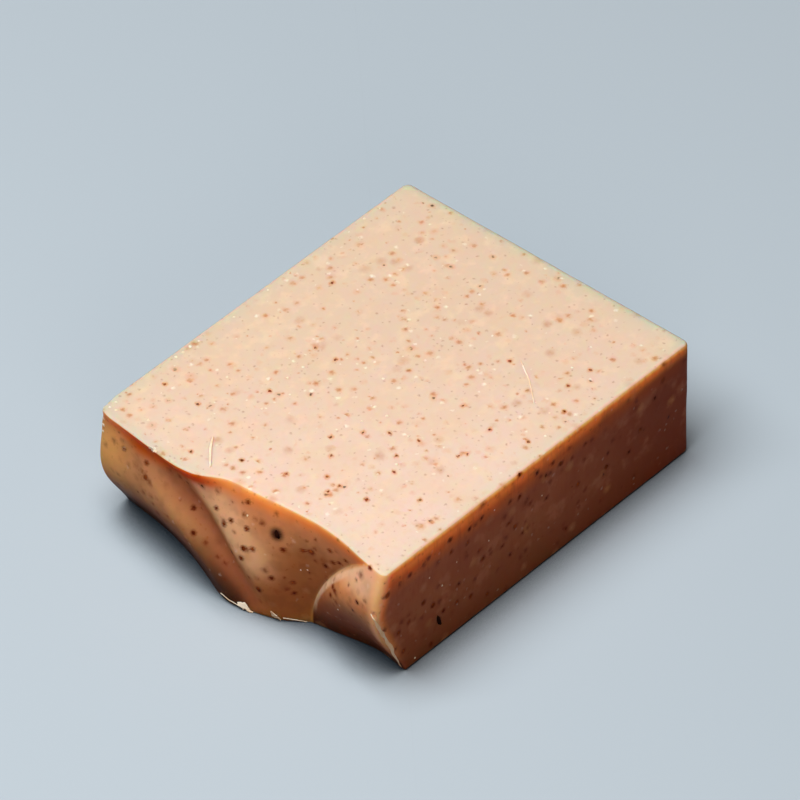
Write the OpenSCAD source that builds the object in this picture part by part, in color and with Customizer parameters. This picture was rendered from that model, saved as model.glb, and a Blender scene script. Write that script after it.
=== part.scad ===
// Bar of handmade soap: one thick slice cut from a loaf that was poured in a mould.
// X runs from the swirled top of the loaf (-X) to its flat bottom (+X), Y goes across
// the loaf, and Z is the thickness of the slice. The bar lies on a cut face, and the
// origin is the middle of its outline on the surface it lies on. All sizes are millimetres.

/* [Slice] */
// Width of the loaf, between its two moulded sides
width = 66; // [62:1:80]
// Thickness that the loaf was sliced to
thickness = 25; // [20:0.5:32]
// Height of the loaf, from its flat bottom to the datum plane of its swirled top
loaf_height = 74; // [55:1:90]
// Radius that the mould left along the two bottom edges of the loaf
mould_radius = 1.5; // [1:0.5:8]
// Radius of the skin where the swirled top turns into the moulded sides
skin_radius = 1.5; // [1:0.1:4]
// Radius left lower down, where the skin was torn off in the mould
torn_radius = 0.8; // [0.4:0.1:2]
// Height where the tear ends at the near side
near_tear = 17.5; // [5:0.5:22]
// Height where the tear ends at the far side
far_tear = 23; // [5:0.5:24]

/* [Lip under the upper cut face] */
// How far the cut lip overhangs the far half of the swirl
lip_reach = 1.8; // [0:0.1:3]
// Thickness of the lip, before it runs back into the swirl
lip_thickness = 2; // [1:0.1:4]
// Place across the loaf where the lip starts
lip_start = 3; // [-5:0.5:10]

/* [Far swell] */
// How far the swell beyond the fold stands out
swell_rise = 3.4; // [0:0.1:5]
// Distance from the fold over which the swell rounds over
swell_width = 7.5; // [4:0.5:12]
// Height of its fullest line over the lower cut face
swell_crest = 11.5; // [6:0.5:16]

/* [Fold] */
// Place across the loaf where the fold starts, at the lower cut face
fold_foot = -5; // [-8:0.5:2]
// Distance in from the far moulded side where the fold ends, at the upper cut face
fold_inset = 13; // [4.5:0.5:20]
// How late the fold bends over on its way up: 1 is straight
fold_bend = 1.6; // [1:0.1:3]
// Depth of the narrow groove along the fold
fold_depth = 0.4; // [0:0.1:2]
// Half width of that groove
fold_spread = 1.4; // [0.5:0.1:3]

/* [Main ridge] */
// How far the ridge between the fold and the crease stands out
ridge_rise = 2.2; // [0:0.1:4]
// Place of its crest, as a share of the way from the fold to the crease
ridge_place = 0.3; // [0.2:0.05:0.8]

/* [Front lobe] */
// How far the folded-over lobe at the near corner stands out
lobe_rise = 4.2; // [0:0.1:6]
// Distance from the crease over which its lip rounds over
lobe_width = 6.5; // [3:0.5:10]
// Height of its fullest line over the lower cut face
lobe_crest = 14.5; // [10:0.5:19]
// Place across the loaf where the crease starts, at the lower cut face
crease_foot = -13; // [-16:0.5:-8]
// Distance in from the near moulded side where the crease ends, at the upper cut face
crease_inset = 4.5; // [4.5:0.5:12]
// How late the crease bends over on its way up: 1 is straight
crease_bend = 2; // [1:0.1:3]

/* [Hidden] */

// The fold and the crease, each as [place across the loaf of its foot, of its head, bend]
fold_line = [fold_foot, width / 2 - fold_inset, fold_bend];
crease_line = [crease_foot, crease_inset - width / 2, crease_bend];

// Outlines of the swirled top on the two cut faces, as [place across the loaf in half
// widths, height over the datum plane]. The upper one is the swirl behind the lip.
upper_outline = [[-1, 5.2], [-0.82, 4.3], [-0.64, 3.1], [-0.45, 2.7], [-0.09, 3.7],
                 [0.09, 4.3], [0.24, 5.3], [0.42, 6], [0.73, 5.8], [1, 5.4]];
lower_outline = [[-1, 0.2], [-0.79, -0.6], [-0.55, 0.8], [-0.39, 2.2], [-0.24, 5.5], [0, 7.5],
                 [0.12, 7], [0.24, 5.4], [0.42, 3.1], [0.67, 1], [1, -0.4]];

// The lip comes to its full reach, then thins out over its taper to what is left of it
lip_full = 7;
lip_taper = 20;
lip_rest = 0.4;

// Height over which the skin's radius changes at the end of a tear
tear_run = 4;

// Height over which each swell dies out below its fullest line, and how quickly it
// draws in above that line
swell_fall = 14;
swell_fullness = 2;
lobe_fall = 18;
lobe_fullness = 1;

// Grid over the swirled top: rows up the thickness, columns across the loaf
rows = 36;
columns_swell = 22;
columns_ridge = 28;
columns_lobe = 16;
columns_skin = 6;
// Columns crowd towards the crease, and stop where the skin has almost turned square
crowding = 1.4;
skin_turn = 74;
margin = 0.5;
surface_colour = "#E9CDB3";

function mix(a, b, t) = a + (b - a) * t;
function clamp(t, low, high) = min(max(t, low), high);
function ease(t) = let (c = clamp(t, 0, 1)) c * c * (3 - 2 * c);
function bell(t) = exp(-t * t);
function quarter_round(t) = sqrt(1 - pow(1 - clamp(t, 0, 1), 2));

// Smooth curve through an outline's points, level beyond its ends
function slope(p, i) =
    let (a = max(i - 1, 0), b = min(i + 1, len(p) - 1)) (p[b][1] - p[a][1]) / (p[b][0] - p[a][0]);
function segment(p, s, i = 0) = i >= len(p) - 2 || s < p[i + 1][0] ? i : segment(p, s, i + 1);
function curve(p, y) =
    let (s = clamp(2 * y / width, -1, 1),
         i = segment(p, s),
         w = p[i + 1][0] - p[i][0],
         t = (s - p[i][0]) / w)
    mix(p[i][1], p[i + 1][1], ease(t))
        + w * t * (1 - t) * ((1 - t) * slope(p, i) - t * slope(p, i + 1));

// Place across the loaf of the fold or the crease at a height, and how fast it moves there
function place(line, z) = mix(line[0], line[1], pow(z / thickness, line[2]));
function lean(line, z) =
    line[2] * (line[1] - line[0]) / thickness * pow(z / thickness, line[2] - 1);

// Distance from such a line, square to it
function across(y, z, line) = (y - place(line, z)) / norm([1, lean(line, z)]);

// Fullness of a swell up the thickness: 1 at its crest, none at the upper cut face
function belly(z, crest, fall, fullness) =
    z > crest
        ? pow(cos(90 * (z - crest) / (thickness - crest)), fullness)
        : pow(cos(90 * clamp((crest - z) / fall, 0, 1)), 2);

function swell(y, z) =
    swell_rise * belly(z, swell_crest, swell_fall, swell_fullness)
        * ease(across(y, z, fold_line) / swell_width);
function groove(y, z) =
    fold_depth * sin(180 * z / thickness) * bell(across(y, z, fold_line) / fold_spread);
function ridge(y, z) =
    let (fold = place(fold_line, z),
         t = clamp((fold - y) / (fold - place(crease_line, z)), 0, 1),
         skew = ln(0.5) / ln(ridge_place))
    ridge_rise * sin(180 * z / thickness) * sin(180 * pow(t, skew));
function lobe(y, z) =
    lobe_rise * belly(z, lobe_crest, lobe_fall, lobe_fullness)
        * quarter_round(-across(y, z, crease_line) / lobe_width);
function lip(y, z) =
    lip_reach * bell((thickness - z) / lip_thickness)
        * ease((y - lip_start) / lip_full)
        * mix(1, lip_rest, ease((y - lip_start - lip_full) / lip_taper));

// Radius of the skin at a height, torn below the end of the tear
function turn_radius(side, z) =
    mix(torn_radius, skin_radius, ease((z - (side < 0 ? near_tear : far_tear)) / tear_run + 0.5));

// Drop of the skin as it turns round into the moulded sides
function skin(y, z) =
    let (r = turn_radius(sign(y), z),
         t = max(abs(y) - (width / 2 - r), 0),
         t_full = r * sin(skin_turn))
    t < t_full
        ? r - sqrt(r * r - t * t)
        : r * (1 - cos(skin_turn)) + (t - t_full) * tan(skin_turn);

// Height of the swirled top over its datum plane
function rise(y, z_in) =
    let (z = clamp(z_in, 0, thickness))
    mix(curve(lower_outline, y), curve(upper_outline, y), z / thickness)
        + swell(y, z) - groove(y, z) + ridge(y, z) + lobe(y, z) + lip(y, z) - skin(y, z);

// Stations across the loaf at one height, with a column along the fold and the crease
function stations(z) =
    let (far_r = turn_radius(1, z),
         near_r = turn_radius(-1, z),
         far = width / 2 - far_r,
         near = near_r - width / 2,
         f = place(fold_line, z),
         c = place(crease_line, z))
    concat(
        [width / 2 + margin],
        [for (i = [columns_skin : -1 : 1]) far + far_r * sin(skin_turn * i / columns_skin)],
        [for (i = [0 : columns_swell]) mix(far, f, i / columns_swell)],
        [for (i = [1 : columns_ridge]) mix(f, c, i / columns_ridge)],
        [for (i = [1 : columns_lobe]) mix(c, near, pow(i / columns_lobe, crowding))],
        [for (i = [1 : columns_skin]) near - near_r * sin(skin_turn * i / columns_skin)],
        [-width / 2 - margin]);

heights = concat([-margin], [for (j = [0 : rows - 2]) thickness * j / (rows - 2)], [thickness + margin]);
grid = [for (z = heights) [for (y = stations(clamp(z, 0, thickness))) [rise(y, z), y, z]]];
peak = max([for (row = grid) for (p = row) p[0]]);
length = loaf_height + peak;

// The slab that mould and slicing wires leave, with room for the swirl at its -X end
module moulded_slab() {
    inner = length / 2 - mould_radius;
    linear_extrude(thickness)
        union() {
            translate([-length / 2 - margin, -width / 2])
                square([length / 2 + margin + inner, width]);
            translate([0, mould_radius - width / 2])
                square([length / 2, width - 2 * mould_radius]);
            for (side = [-1, 1])
                translate([inner, side * (width / 2 - mould_radius)])
                    circle(mould_radius, $fn = 64);
        }
}

// A block whose -X face is the swirled top
module swirled_block() {
    columns = len(grid[0]);
    last = columns - 1;
    top = rows * columns;
    back = top + columns;
    datum = length / 2 - loaf_height;
    behind = length / 2 + margin;
    points = concat(
        [for (row = grid) for (p = row) [datum - p[0], p[1], p[2]]],
        [for (z = [heights[0], heights[rows]]) for (s = [1, -1])
            [behind, s * (width / 2 + margin), z]]);
    faces = concat(
        [for (j = [0 : rows - 1]) for (i = [0 : last - 1]) for (half = [0, 1])
            let (a = j * columns + i) half == 0
                ? [a, a + columns, a + 1]
                : [a + 1, a + columns, a + columns + 1]],
        [concat([back + 1, back], [for (i = [0 : last]) i])],
        [concat([back + 2, back + 3], [for (i = [last : -1 : 0]) top + i])],
        [concat([back, back + 2], [for (j = [rows : -1 : 0]) j * columns])],
        [concat([back + 3, back + 1], [for (j = [0 : rows]) j * columns + last])],
        [[back, back + 1, back + 3, back + 2]]);
    polyhedron(points, faces);
}

module soap_bar() {
    color(surface_colour)
        intersection() {
            moulded_slab();
            swirled_block();
        }
}

soap_bar();
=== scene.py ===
"""Looks of a bar of handmade soap: a thick slice of a poured loaf with a swirled, folded top.

X runs from the swirled top of the loaf (-X) to its flat bottom (+X), Y goes across the loaf
and Z is the thickness of the slice. Sizes are millimetres unless a name says otherwise, and
everything is turned into metres where a mesh is made.
"""
import math
import random

import bmesh
import bpy
import numpy as np
from mathutils import Matrix, Vector, noise
from mathutils.bvhtree import BVHTree


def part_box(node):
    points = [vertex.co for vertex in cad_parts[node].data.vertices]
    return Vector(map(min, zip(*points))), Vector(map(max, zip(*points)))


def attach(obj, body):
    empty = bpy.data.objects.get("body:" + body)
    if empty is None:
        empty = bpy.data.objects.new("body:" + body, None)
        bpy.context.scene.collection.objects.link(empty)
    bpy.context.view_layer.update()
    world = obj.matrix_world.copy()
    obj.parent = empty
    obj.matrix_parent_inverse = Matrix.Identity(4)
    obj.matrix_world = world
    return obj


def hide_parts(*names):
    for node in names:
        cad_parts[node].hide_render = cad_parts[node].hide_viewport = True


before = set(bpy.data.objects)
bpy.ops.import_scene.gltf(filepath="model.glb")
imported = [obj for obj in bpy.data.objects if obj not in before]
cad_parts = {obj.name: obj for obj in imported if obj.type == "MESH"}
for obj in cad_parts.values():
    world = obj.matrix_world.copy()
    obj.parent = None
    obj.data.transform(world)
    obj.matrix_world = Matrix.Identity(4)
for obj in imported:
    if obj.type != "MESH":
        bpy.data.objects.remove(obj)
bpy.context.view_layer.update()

MM = 0.001
BODY = "root"
NODE = "soap_bar"

# The slice, read from the frame
low_corner, high_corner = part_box(NODE)
length, width, thickness = (high_corner - low_corner) / MM
flat_end = high_corner.x / MM

# The swirled top of the loaf, as it was poured and folded over
loaf_height = 74
mould_radius = 1.5
skin_radius = 1.5
torn_radius = 0.8
near_tear = 17.5
far_tear = 23
tear_run = 4
lip_reach = 1.8
lip_thickness = 2
lip_start = 3
lip_full = 7
lip_taper = 20
lip_rest = 0.4
swell_rise = 3.4
swell_width = 7.5
swell_crest = 11.5
swell_fall = 14
swell_fullness = 2
fold_foot = -5
fold_inset = 13
fold_bend = 1.6
fold_depth = 0.4
fold_spread = 1.4
ridge_rise = 2.2
ridge_place = 0.3
lobe_rise = 4.2
lobe_width = 6.5
lobe_crest = 14.5
lobe_fall = 18
lobe_fullness = 1
crease_foot = -13
crease_inset = 4.5
crease_bend = 2
skin_turn = math.radians(74)

# The fold and the crease, each as place across the loaf of its foot, of its head, and bend
fold_line = (fold_foot, width / 2 - fold_inset, fold_bend)
crease_line = (crease_foot, crease_inset - width / 2, crease_bend)
# Level of the poured soap, from which the swirl stands up
datum = flat_end - loaf_height

# Outlines of the swirled top on the two cut faces: place across in half widths, height
upper_outline = [(-1, 5.2), (-0.82, 4.3), (-0.64, 3.1), (-0.45, 2.7), (-0.09, 3.7),
                 (0.09, 4.3), (0.24, 5.3), (0.42, 6), (0.73, 5.8), (1, 5.4)]
lower_outline = [(-1, 0.2), (-0.79, -0.6), (-0.55, 0.8), (-0.39, 2.2), (-0.24, 5.5), (0, 7.5),
                 (0.12, 7), (0.24, 5.4), (0.42, 3.1), (0.67, 1), (1, -0.4)]

# Width over which the fold is averaged, and how far from the fold that reaches
FOLD_WEAR = 2.4
FOLD_WEAR_STEPS = 9
FOLD_WEAR_REACH = 3.6


def mix(a, b, t):
    return a + (b - a) * t


def ease(t):
    c = np.clip(t, 0, 1)
    return c * c * (3 - 2 * c)


def bell(t):
    return np.exp(-t * t)


def quarter_round(t):
    return np.sqrt(1 - (1 - np.clip(t, 0, 1)) ** 2)


def curve(outline, y):
    """Smooth curve through an outline's points, level beyond its ends."""
    places = np.array([p[0] for p in outline], float)
    heights = np.array([p[1] for p in outline], float)
    last = len(outline) - 1
    before = np.maximum(np.arange(last + 1) - 1, 0)
    after = np.minimum(np.arange(last + 1) + 1, last)
    slopes = (heights[after] - heights[before]) / (places[after] - places[before])
    s = np.clip(2 * y / width, -1, 1)
    i = np.clip(np.searchsorted(places, s, side="right") - 1, 0, last - 1)
    w = places[i + 1] - places[i]
    t = (s - places[i]) / w
    bend = w * t * (1 - t) * ((1 - t) * slopes[i] - t * slopes[i + 1])
    return mix(heights[i], heights[i + 1], ease(t)) + bend


def leaning_line(line, z):
    """Place across the loaf of a line that bends from its foot over to its head."""
    foot, head, bend = line
    return mix(foot, head, (z / thickness) ** bend)


def across(y, z, line):
    """Distance from such a line, square to it."""
    foot, head, bend = line
    lean = bend * (head - foot) / thickness * (z / thickness) ** (bend - 1)
    return (y - leaning_line(line, z)) / np.sqrt(1 + lean ** 2)


def belly(z, crest, fall, fullness):
    """Fullness of a swell up the thickness: 1 at its crest, none at the upper cut face."""
    above = np.cos(np.clip((z - crest) / (thickness - crest), 0, 1) * math.pi / 2)
    below = np.cos(np.clip((crest - z) / fall, 0, 1) * math.pi / 2)
    return np.where(z > crest, above ** fullness, below ** 2)


def swell(y, z):
    t = np.clip(across(y, z, fold_line) / swell_width, 0, 1)
    return swell_rise * belly(z, swell_crest, swell_fall, swell_fullness) * ease(t)


def groove(y, z):
    spread = bell(across(y, z, fold_line) / fold_spread)
    return fold_depth * np.sin(math.pi * z / thickness) * spread


def ridge(y, z):
    fold = leaning_line(fold_line, z)
    crease = leaning_line(crease_line, z)
    t = np.clip((fold - y) / (fold - crease), 0, 1)
    skew = math.log(0.5) / math.log(ridge_place)
    return ridge_rise * np.sin(math.pi * z / thickness) * np.sin(math.pi * t ** skew)


def lobe(y, z):
    t = -across(y, z, crease_line) / lobe_width
    return lobe_rise * belly(z, lobe_crest, lobe_fall, lobe_fullness) * quarter_round(t)


def lip(y, z):
    start = ease((y - lip_start) / lip_full)
    taper = mix(1, lip_rest, ease((y - lip_start - lip_full) / lip_taper))
    return lip_reach * bell((thickness - z) / lip_thickness) * start * taper


def turn_radius(side, z):
    tear = np.where(side < 0, near_tear, far_tear)
    return mix(torn_radius, skin_radius, ease((z - tear) / tear_run + 0.5))


def skin(y, z):
    """Drop of the skin as it turns round into the moulded sides."""
    r = turn_radius(np.sign(y), z)
    t = np.maximum(np.abs(y) - (width / 2 - r), 0)
    full = r * math.sin(skin_turn)
    rounded = r - np.sqrt(np.maximum(r * r - t * t, 0))
    steep = r * (1 - math.cos(skin_turn)) + (t - full) * math.tan(skin_turn)
    return np.where(t < full, rounded, steep)


def swirl_height(y, z):
    """Height of the swirled top over its datum plane."""
    outline = mix(curve(lower_outline, y), curve(upper_outline, y), z / thickness)
    return (outline + swell(y, z) - groove(y, z) + ridge(y, z) + lobe(y, z) + lip(y, z)
            - skin(y, z))


def swirl_x(y, z):
    """Place of the swirled top, with the bottom of its fold worn soft."""
    sharp = swirl_height(y, z)
    steps = np.linspace(-FOLD_WEAR, FOLD_WEAR, FOLD_WEAR_STEPS)
    worn = sum(swirl_height(y + step, z) for step in steps) / FOLD_WEAR_STEPS
    near_fold = bell(across(y, z, fold_line) / FOLD_WEAR_REACH)
    return datum - mix(sharp, worn, near_fold)


# The camera of the photograph, found from the bar's straight edges
CAMERA_AZIMUTH = math.radians(-47.208)
CAMERA_ELEVATION = math.radians(41.716)
CAMERA_ROLL = math.radians(-1.259)
CAMERA_FROM_FLAT_END = Vector((-796.41, -701.39, 938.81))
CAMERA_LENS = 360
CAMERA_SENSOR = 36
PHOTO_SIZE = 800
# The nearest and the farthest that it shows, in metres
CAMERA_NEAR = 0.01
CAMERA_FAR = 20


def camera_axes():
    az, el, roll = CAMERA_AZIMUTH, CAMERA_ELEVATION, CAMERA_ROLL
    back = Vector((math.sin(az) * math.cos(el), -math.cos(az) * math.cos(el), math.sin(el)))
    right = Vector((math.cos(az), math.sin(az), 0))
    up = back.cross(right)
    return (right * math.cos(roll) + up * math.sin(roll),
            up * math.cos(roll) - right * math.sin(roll), back)


def camera_place():
    return (CAMERA_FROM_FLAT_END + Vector((flat_end, 0, 0))) * MM


def make_camera():
    camera = bpy.data.objects.new("camera", bpy.data.cameras.new("camera"))
    bpy.context.scene.collection.objects.link(camera)
    turned = Matrix(camera_axes()).transposed().to_4x4()
    turned.translation = camera_place()
    camera.matrix_world = turned
    camera.data.lens = CAMERA_LENS
    camera.data.sensor_width = CAMERA_SENSOR
    camera.data.clip_start = CAMERA_NEAR
    camera.data.clip_end = CAMERA_FAR
    bpy.context.scene.camera = camera


def photo_ray(px, py):
    """Direction from the camera through a pixel of the photograph."""
    right, up, back = camera_axes()
    pixel = CAMERA_SENSOR / CAMERA_LENS / PHOTO_SIZE
    half = PHOTO_SIZE / 2
    return (right * (px - half) * pixel - up * (py - half) * pixel - back).normalized()


# Mesh work

def start_fresh():
    """Leaves edit mode with nothing selected."""
    if bpy.context.mode != "OBJECT":
        bpy.ops.object.mode_set(mode="OBJECT")
    bpy.ops.object.select_all(action="DESELECT")


def pick_edges(obj, wanted):
    """In edit mode, selects the edges for which wanted(first point, second point) holds."""
    mesh = bmesh.from_edit_mesh(obj.data)
    bpy.ops.mesh.select_all(action="DESELECT")
    bpy.ops.mesh.select_mode(type="EDGE")
    for e in mesh.edges:
        e.select_set(wanted(e.verts[0].co, e.verts[1].co))
    bmesh.update_edit_mesh(obj.data)


def points_of(obj):
    flat = np.zeros(len(obj.data.vertices) * 3)
    obj.data.vertices.foreach_get("co", flat)
    return flat.reshape(-1, 3) / MM


def move_points(obj, points):
    obj.data.vertices.foreach_set("co", (points * MM).ravel())
    obj.data.update()


# The bar itself

BAR_COLUMNS_X = 120
BAR_COLUMNS_Y = 176
BAR_ROWS = 64
# How closely the columns crowd towards the edges
CROWDING = 0.3
# Radius that the cut edges have worn to, along the sides and along the swirl
EDGE_ROUND = 0.7
SWIRL_EDGE_ROUND = 0.3
EDGE_ROWS = 4
# Shares of the columns across the loaf given to each skin and to the lobe
SKIN_SHARE = 0.05
LOBE_SHARE = 0.24
LOBE_CROWDING = 1.4
# Share of the length over which the columns straighten out from the crease
STRAIGHTEN = 0.5
# Distance of each point of the cut faces from their outline, as the finish reads it
EDGE_DISTANCE = "from_edge"
# Distance of each point behind the swirled face, likewise
SWIRL_DISTANCE = "from_swirl"
# Wear of the upper far corner of the swirl: how far it reaches, and how much is gone
CORNER_WEAR_REACH = 4
CORNER_WEAR = 0.4
# Unevenness of the faces, as height, size and seed of its waves
FACE_WAVE = 0.07
FACE_WAVE_SIZE = 7
FACE_WAVE_SEED = 1
# Points this close to a wall or to the upper cut face move with its waves
NEAR_WALL = 1
NEAR_FACE = 0.01
# What makes the random fields of two seeds differ, and brings a field to about -1 to 1
SEED_SHIFT = (17.3, 5.1, 11.7)
FIELD_GAIN = 1.6
# Keeps a division from being one by nothing
TINY = 1e-9


def keep_values(obj, name, values):
    """Keeps a value at each point of a mesh, for its finish to read."""
    layer = obj.data.attributes.new(name, "FLOAT", "POINT")
    layer.data.foreach_set("value", values)


def crowded(t):
    """Spreads 0 to 1 so that steps are short at both ends."""
    return t - CROWDING * np.sin(2 * math.pi * t) / (2 * math.pi)


def swirl_station(v, z):
    """Place across the loaf of a column at the swirled end, v from 0 (far) to 1 (near)."""
    far_r = turn_radius(1, z)
    near_r = turn_radius(-1, z)
    far = width / 2 - far_r
    near = near_r - width / 2
    crease = leaning_line(crease_line, z)
    crease_share = 1 - SKIN_SHARE - LOBE_SHARE
    far_turn = math.pi / 2 * (1 - v / SKIN_SHARE)
    near_turn = math.pi / 2 * np.clip((v - 1 + SKIN_SHARE) / SKIN_SHARE, 0, 1)
    far_skin = far + far_r * np.sin(far_turn)
    swells = mix(far, crease, (v - SKIN_SHARE) / (crease_share - SKIN_SHARE))
    in_lobe = np.clip((v - crease_share) / LOBE_SHARE, 0, 1)
    lobe_part = mix(crease, near, in_lobe ** LOBE_CROWDING)
    near_skin = near - near_r * np.sin(near_turn)
    return np.where(v < SKIN_SHARE, far_skin,
                    np.where(v < crease_share, swells,
                             np.where(v < 1 - SKIN_SHARE, lobe_part, near_skin)))


def mould_corners(x, y):
    """Rounds the two corners at the flat end that the mould left."""
    inner_x = flat_end - mould_radius
    inner_y = width / 2 - mould_radius
    a = np.maximum(x - inner_x, 0)
    b = np.maximum(np.abs(y) - inner_y, 0)
    reach = np.maximum(a, b)
    square = np.sqrt(a * a + b * b)
    shrink = np.where(square > 0, reach / np.maximum(square, TINY), 1)
    in_corner = (a > 0) & (b > 0)
    x = np.where(in_corner, inner_x + a * shrink, x)
    y = np.where(in_corner, np.sign(y) * (inner_y + b * shrink), y)
    return x, y


def wander(points, size, seed):
    """Smooth random field of about -1 to 1, with waves of the given size."""
    shift = Vector([seed * step for step in SEED_SHIFT])
    return np.array([noise.noise(Vector(p) / size + shift) for p in points]) * FIELD_GAIN


def edge_rows(rows):
    """Height of the wall's rows, and how far each is drawn in where the cut edges are round."""
    from_edge = np.minimum(rows, BAR_ROWS - rows)
    turn = np.clip(1 - from_edge / EDGE_ROWS, 0, 1) * math.pi / 2
    on_wall = np.maximum(from_edge - EDGE_ROWS, 0) / (BAR_ROWS / 2 - EDGE_ROWS)
    rise = EDGE_ROUND * (1 - np.sin(turn)) + on_wall * (thickness / 2 - EDGE_ROUND)
    return np.where(rows < BAR_ROWS / 2, rise, thickness - rise), 1 - np.cos(turn)


def make_bar():
    """The whole bar: a grid pulled up into a block, whose points then take the loaf's form."""
    start_fresh()
    bpy.ops.mesh.primitive_grid_add(x_subdivisions=BAR_COLUMNS_X, y_subdivisions=BAR_COLUMNS_Y,
                                    size=1, location=(0, 0, 0))
    bar = bpy.context.object
    bar.name = "soap_body"
    bar.scale = (length * MM, width * MM, 1)
    bpy.ops.object.transform_apply(location=False, rotation=False, scale=True)
    bpy.ops.object.mode_set(mode="EDIT")
    bpy.ops.mesh.select_all(action="SELECT")
    bpy.ops.mesh.extrude_region_move(TRANSFORM_OT_translate={"value": (0, 0, thickness * MM)})
    bpy.ops.mesh.select_all(action="SELECT")
    bpy.ops.mesh.normals_make_consistent(inside=False)
    pick_edges(bar, lambda a, b: abs(a.z - b.z) > thickness * MM / 2)
    bpy.ops.mesh.subdivide(number_cuts=BAR_ROWS - 1)
    bpy.ops.object.mode_set(mode="OBJECT")

    points = points_of(bar)
    rows = np.rint(points[:, 2] / thickness * BAR_ROWS)
    z, inset = edge_rows(rows)
    side_inset = inset * EDGE_ROUND
    t = crowded((points[:, 0] + length / 2) / length)
    v = 0.5 - points[:, 1] / width
    evenly = width * (0.5 - crowded(v))
    y = mix(swirl_station(v, z), evenly, ease(t / STRAIGHTEN))
    y = y * (1 - 2 * side_inset / width)
    x = mix(swirl_x(y, z) + inset * SWIRL_EDGE_ROUND, flat_end - side_inset, t)
    worn = (ease((z - thickness) / CORNER_WEAR_REACH + 1)
            * ease((y - width / 2) / CORNER_WEAR_REACH + 1)
            * ease((swirl_x(y, z) - x) / CORNER_WEAR_REACH + 1)) * CORNER_WEAR
    x = x + worn
    y = y - worn
    x, y = mould_corners(x, y)
    wave = FACE_WAVE * np.abs(wander(np.stack([x, y, z], 1), FACE_WAVE_SIZE, FACE_WAVE_SEED))
    x = np.where(x > flat_end - NEAR_WALL, x - wave, x)
    y = np.where(np.abs(y) > width / 2 - NEAR_WALL, y - np.sign(y) * wave, y)
    z = np.where(z > thickness - NEAR_FACE, z - wave, z)
    move_points(bar, np.stack([x, y, z], 1))
    bpy.ops.object.shade_smooth()

    from_swirl = x - swirl_x(y, z)
    from_edge = np.minimum(from_swirl, np.minimum(width / 2 - np.abs(y), flat_end - x))
    keep_values(bar, SWIRL_DISTANCE, from_swirl)
    keep_values(bar, EDGE_DISTANCE, from_edge)
    return bar


# Material maths

class Flow:
    """A value, colour or vector on its way through a material, with plain arithmetic."""

    def __init__(self, tree, socket):
        self.tree = tree
        self.socket = socket

    def _math(self, operation, first, second=None):
        inputs = {0: first} if second is None else {0: first, 1: second}
        return node(self.tree, "ShaderNodeMath", {"operation": operation}, inputs)

    def __add__(self, other):
        return self._math("ADD", self, other)

    def __radd__(self, other):
        return self._math("ADD", other, self)

    def __sub__(self, other):
        return self._math("SUBTRACT", self, other)

    def __rsub__(self, other):
        return self._math("SUBTRACT", other, self)

    def __mul__(self, other):
        return self._math("MULTIPLY", self, other)

    def __rmul__(self, other):
        return self._math("MULTIPLY", other, self)

    def __truediv__(self, other):
        return self._math("DIVIDE", self, other)

    def __pow__(self, other):
        return self._math("POWER", self, other)

    def at_least(self, other):
        return self._math("MAXIMUM", self, other)

    def at_most(self, other):
        return self._math("MINIMUM", self, other)

    def size(self):
        return self._math("ABSOLUTE", self)

    def out(self, name):
        """Another output of the same node."""
        return Flow(self.tree, self.socket.node.outputs[name])

    def into(self, shader, name):
        self.tree.links.new(self.socket, shader.inputs[name])


def node(tree, kind, settings, inputs, output=0):
    """Adds a node: its settings first, then the value or link of each named socket."""
    made = tree.nodes.new(kind)
    for name, value in settings.items():
        if name == "stops":
            stops = made.color_ramp.elements
            while len(stops) < len(value):
                stops.new(1)
            for element, (position, colour) in zip(stops, value):
                element.position = position
                element.color = (*colour, 1)
        else:
            setattr(made, name, value)
    for name, value in inputs.items():
        socket = made.inputs[name]
        if isinstance(value, Flow):
            tree.links.new(value.socket, socket)
        elif isinstance(value, (tuple, list)) and len(value) == 3 and socket.type == "RGBA":
            socket.default_value = (*value, 1)
        else:
            socket.default_value = value
    return Flow(tree, made.outputs[output])


def blend(factor, first, second):
    """Mixes two colours."""
    return node(factor.tree, "ShaderNodeMix", {"data_type": "RGBA"},
                {0: factor, 6: first, 7: second}, 2)


def srgb(red, green, blue):
    """A colour written in screen values from 0 to 255."""
    return tuple((c / 255 / 12.92) if c < 10.31 else ((c / 255 + 0.055) / 1.055) ** 2.4
                 for c in (red, green, blue))


# Colours of the soap as screen values
CUT_FACE = srgb(240, 214, 197)
CUT_FACE_BACK_PAINTED_SHADE = srgb(229, 204, 180)
CUT_FACE_ROSY = srgb(234, 200, 168)
CUT_FACE_CREAM = srgb(245, 217, 187)
CUT_RIM = srgb(255, 210, 188)
CUT_EDGE = srgb(255, 190, 168)
MOULDED_DARK = srgb(156, 80, 52)
MOULDED_PALE = srgb(214, 144, 110)
FOOT_SHADE = srgb(60, 26, 8)
POURED_DARK = srgb(186, 114, 78)
SWELL_SHADE = srgb(102, 62, 38)
FOLD_PAINTED_SHADE = srgb(172, 96, 66)
HOLLOW_PAINTED_SHADE = srgb(168, 100, 52)
LIP_SHADE = srgb(218, 98, 0)
LOBE_SHADE = srgb(146, 82, 48)
LOBE_PAINTED_LIGHT = srgb(234, 152, 90)
RIDGE_PAINTED_HIGHLIGHT = srgb(255, 208, 166)
PALE_SKIN_AND_PAINTED_GLOW = srgb(255, 188, 134)
CORNER_GLOW = srgb(255, 164, 88)
END_SHADE = srgb(132, 52, 22)
AMBER_PAINTED_LIGHT = srgb(255, 192, 108)
DEEP_STAIN = srgb(112, 44, 16)
DEEP_RUST = srgb(128, 54, 20)
CRUMB_WHITE = srgb(255, 248, 232)
BROWN_GRAIN = srgb(164, 86, 38)
RUSTY_GRAIN = srgb(212, 130, 58)
RUSTY_HALO = srgb(230, 158, 98)
BLACK_GRAIN = srgb(56, 20, 8)
PLUM_SMUDGE = srgb(208, 148, 112)
AMBER_SMUDGE = srgb(222, 158, 96)
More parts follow.
